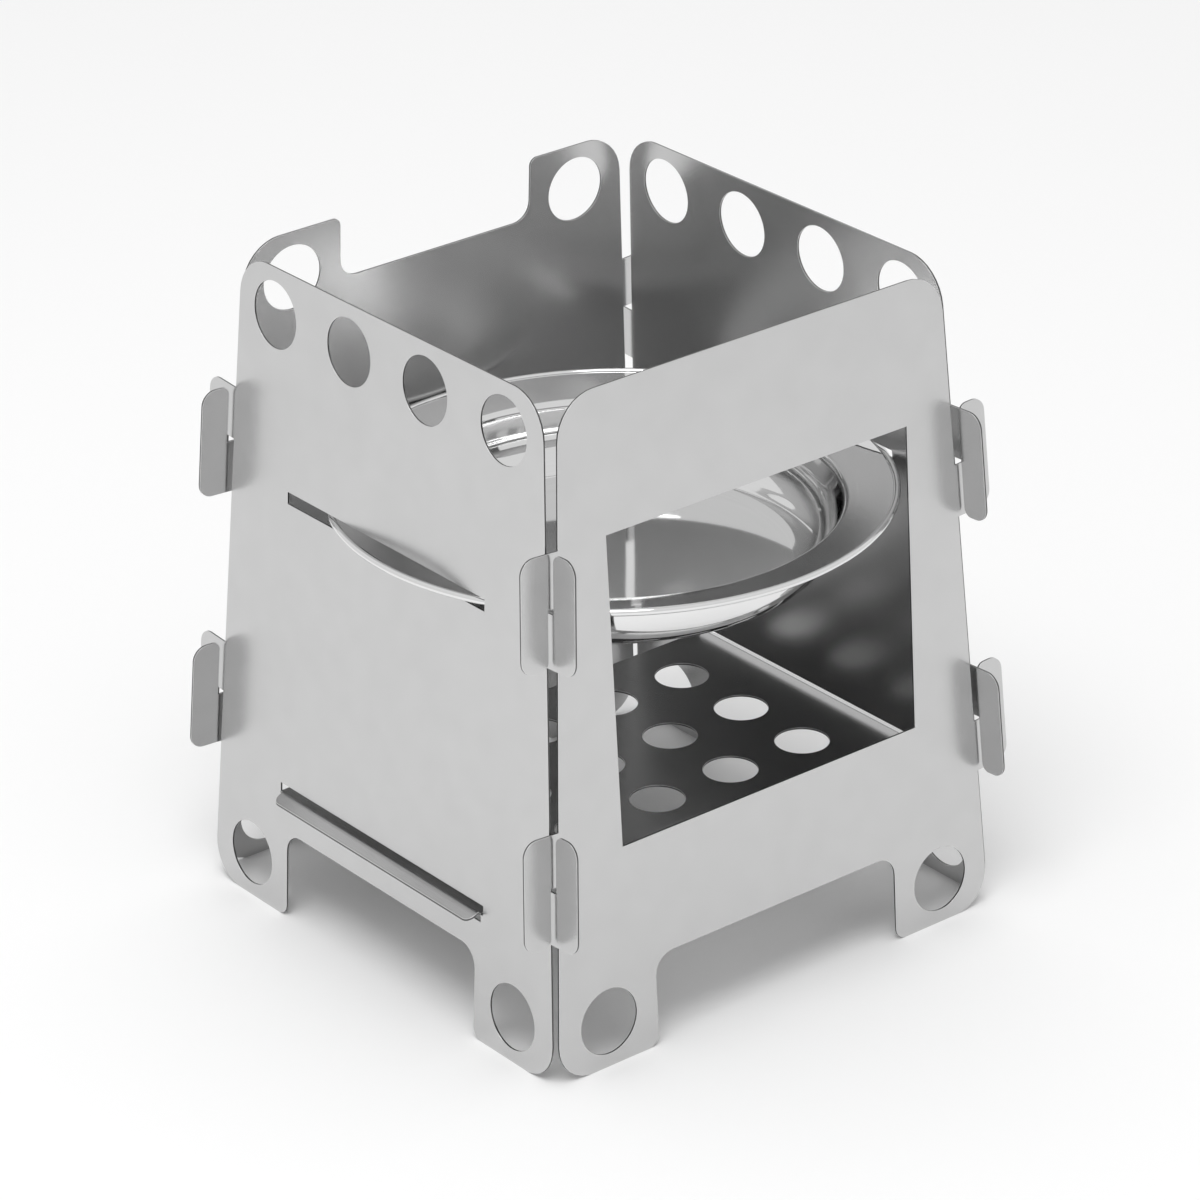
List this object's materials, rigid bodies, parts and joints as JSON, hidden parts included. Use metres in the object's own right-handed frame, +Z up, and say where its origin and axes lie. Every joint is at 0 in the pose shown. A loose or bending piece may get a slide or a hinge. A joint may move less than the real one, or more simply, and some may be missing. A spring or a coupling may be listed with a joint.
{
  "type": "folding pocket stove",
  "caption": "Wood stove of flat leaning steel walls that hook together at their corners, with a perforated floor grate and a round polished tray",
  "frame": {"origin": "on the ground, midway between the four corner lines of the standing stove", "axes": "+Z up, the window faces -Y, +X runs to the right as seen by someone who looks in at the window"},
  "size_m": [0.14, 0.1409, 0.157],
  "materials": {
    "panel_steel": "satin",
    "grate_steel": "satin",
    "tray_steel": "polished"
  },
  "bodies": {
    "front": {"front_panel": "panel_steel"},
    "left": {"left_panel": "panel_steel"},
    "right": {"right_panel": "panel_steel"},
    "back": {"back_panel": "panel_steel"},
    "grate": {"grate": "grate_steel"},
    "tray": {"tray": "tray_steel"}
  },
  "joints": [
    {"name": "left_swing", "type": "hinge", "parent": "front", "child": "left", "pos_m": [-0.064, -0.064, 0], "axis": [0.0571, 0.0571, 0.9967], "range_deg": [0, 60]},
    {"name": "back_swing", "type": "hinge", "parent": "left", "child": "back", "pos_m": [-0.064, 0.064, 0], "axis": [0.0571, -0.0571, 0.9967], "range_deg": [0, 60]},
    {"name": "right_swing", "type": "hinge", "parent": "front", "child": "right", "pos_m": [0.064, -0.064, 0], "axis": [0.0571, -0.0571, -0.9967], "range_deg": [0, 60]},
    {"name": "tray_turn", "type": "hinge", "parent": "front", "child": "tray", "pos_m": [0, -0.00673, 0.0866], "axis": [0, 0, 1], "continuous": true},
    {"name": "grate_lift", "type": "slide", "parent": "front", "child": "grate", "axis": [0, 0, 1], "range_m": [0, 0.0017]}
  ]
}
